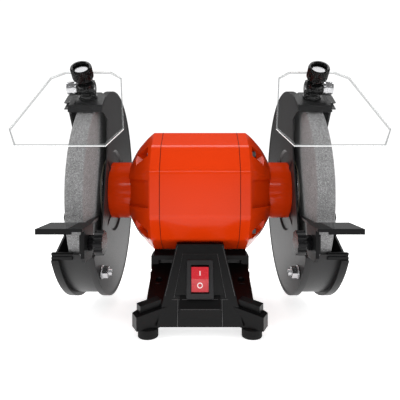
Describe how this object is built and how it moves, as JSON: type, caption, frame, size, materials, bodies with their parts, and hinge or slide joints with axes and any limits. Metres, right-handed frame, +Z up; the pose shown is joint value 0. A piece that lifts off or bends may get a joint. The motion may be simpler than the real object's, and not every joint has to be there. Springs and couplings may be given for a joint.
{
  "type": "bench grinder",
  "caption": "Bench grinder with a faceted motor body, an abrasive wheel at each end in a guard, clear eye shields, tool rests and a pedestal base with a rocker switch.",
  "frame": {"origin": "on the bench surface, under the middle of the shaft", "axes": "+X along the shaft to the right, -Y towards the operator, +Z up"},
  "size_m": [0.3234, 0.2502, 0.2555],
  "materials": {
    "zinc": "bright zinc plate",
    "base_plastic": "fine textured black",
    "sheet": "zinc plated sheet",
    "steel": "turned steel",
    "can": "drawn can",
    "rubber": "black rubber",
    "orange_paint": "glossy orange enamel on cast aluminium and steel",
    "shield_clear": "clear polycarbonate",
    "cover_paint": "satin dark grey powder coat",
    "guard_paint": "satin dark grey powder coat",
    "rest_paint": "gloss black enamel on steel",
    "knob_plastic": "black moulded",
    "cage": "die cast",
    "lamination": "electrical steel",
    "winding": "varnished copper wire, bound",
    "switch_plastic": "dark grey moulded",
    "rocker_plastic": "red moulded",
    "blotter": "card blotter",
    "bush": "moulded bush",
    "abrasive": "grey vitrified aluminium oxide"
  },
  "bodies": {
    "frame": {"base_casting": "base_plastic", "base_plate": "sheet", "base_plate_screws": "zinc", "bearing_outer_rings": "steel", "capacitor": "can", "cord_gland": "rubber", "end_bell_left": "orange_paint", "end_bell_right": "orange_paint", "foot_screws": "zinc", "guard_cover_left": "cover_paint", "guard_cover_right": "cover_paint", "guard_cover_screws": "zinc", "guard_flange_screws": "zinc", "guard_inner_left": "guard_paint", "guard_inner_right": "guard_paint", "guard_stud_nuts": "zinc", "guard_studs": "zinc", "motor_screws": "zinc", "motor_shell": "orange_paint", "rest_bracket_left": "rest_paint", "rest_bracket_right": "rest_paint", "rubber_feet": "rubber", "shield_post_left": "knob_plastic", "shield_post_right": "knob_plastic", "shield_post_screws": "zinc", "stator_core": "lamination", "stator_windings": "winding", "switch_housing": "switch_plastic", "tie_bolts": "zinc"},
    "rotor": {"shaft": "steel", "rotor_core": "lamination", "rotor_cage": "cage", "bearing_inner_rings": "steel", "bearing_balls": "steel", "wheel_left": "abrasive", "wheel_right": "abrasive", "wheel_bushes": "bush", "wheel_blotters": "blotter", "wheel_inner_flanges": "steel", "wheel_outer_flanges": "steel", "arbor_nuts": "zinc"},
    "switch_rocker": {"switch_rocker": "rocker_plastic"},
    "arrestor_left": {"spark_arrestor_left": "guard_paint"},
    "eye_shield_left": {"shield_head_left": "knob_plastic", "shield_pivot_bolt_left": "zinc", "eye_shield_left": "shield_clear"},
    "shield_knob_left": {"shield_knob_left": "knob_plastic", "shield_knob_screw_left": "zinc"},
    "tool_rest_left": {"tool_rest_left": "rest_paint"},
    "rest_knob_left": {"rest_knob_left": "knob_plastic", "rest_knob_screw_left": "zinc"},
    "arrestor_right": {"spark_arrestor_right": "guard_paint"},
    "eye_shield_right": {"shield_head_right": "knob_plastic", "shield_pivot_bolt_right": "zinc", "eye_shield_right": "shield_clear"},
    "shield_knob_right": {"shield_knob_right": "knob_plastic", "shield_knob_screw_right": "zinc"},
    "tool_rest_right": {"tool_rest_right": "rest_paint"},
    "rest_knob_right": {"rest_knob_right": "knob_plastic", "rest_knob_screw_right": "zinc"}
  },
  "joints": [
    {"name": "rotor_spin", "type": "hinge", "parent": "frame", "child": "rotor", "pos_m": [0, 0, 0.13], "axis": [1, 0, 0], "continuous": true},
    {"name": "switch_rock", "type": "hinge", "parent": "frame", "child": "switch_rocker", "pos_m": [0, -0.05866, 0.0474], "axis": [-1, 0, 0], "range_deg": [0, 12]},
    {"name": "arrestor_slide_left", "type": "slide", "parent": "frame", "child": "arrestor_left", "axis": [0, -0.8192, -0.5736], "range_m": [0, 0.0045]},
    {"name": "shield_tilt_left", "type": "hinge", "parent": "frame", "child": "eye_shield_left", "pos_m": [-0.109, -0.0602, 0.2318], "axis": [-1, 0, 0], "range_deg": [-8, 50]},
    {"name": "shield_knob_turn_left", "type": "hinge", "parent": "eye_shield_left", "child": "shield_knob_left", "pos_m": [-0.109, -0.0602, 0.2318], "axis": [0, -0.7701, 0.638], "range_deg": [-20, 360]},
    {"name": "rest_slide_left", "type": "slide", "parent": "frame", "child": "tool_rest_left", "axis": [0, -1, 0], "range_m": [-0.001, 0.0075]},
    {"name": "rest_knob_turn_left", "type": "hinge", "parent": "frame", "child": "rest_knob_left", "pos_m": [-0.0885, -0.117, 0.095], "axis": [1, 0, 0], "range_deg": [-20, 360]},
    {"name": "arrestor_slide_right", "type": "slide", "parent": "frame", "child": "arrestor_right", "axis": [0, -0.8192, -0.5736], "range_m": [0, 0.0045]},
    {"name": "shield_tilt_right", "type": "hinge", "parent": "frame", "child": "eye_shield_right", "pos_m": [0.109, -0.0602, 0.2318], "axis": [-1, 0, 0], "range_deg": [-8, 50]},
    {"name": "shield_knob_turn_right", "type": "hinge", "parent": "eye_shield_right", "child": "shield_knob_right", "pos_m": [0.109, -0.0602, 0.2318], "axis": [0, -0.7701, 0.638], "range_deg": [-20, 360]},
    {"name": "rest_slide_right", "type": "slide", "parent": "frame", "child": "tool_rest_right", "axis": [0, -1, 0], "range_m": [-0.001, 0.0075]},
    {"name": "rest_knob_turn_right", "type": "hinge", "parent": "frame", "child": "rest_knob_right", "pos_m": [0.0885, -0.117, 0.095], "axis": [1, 0, 0], "range_deg": [-20, 360]}
  ]
}
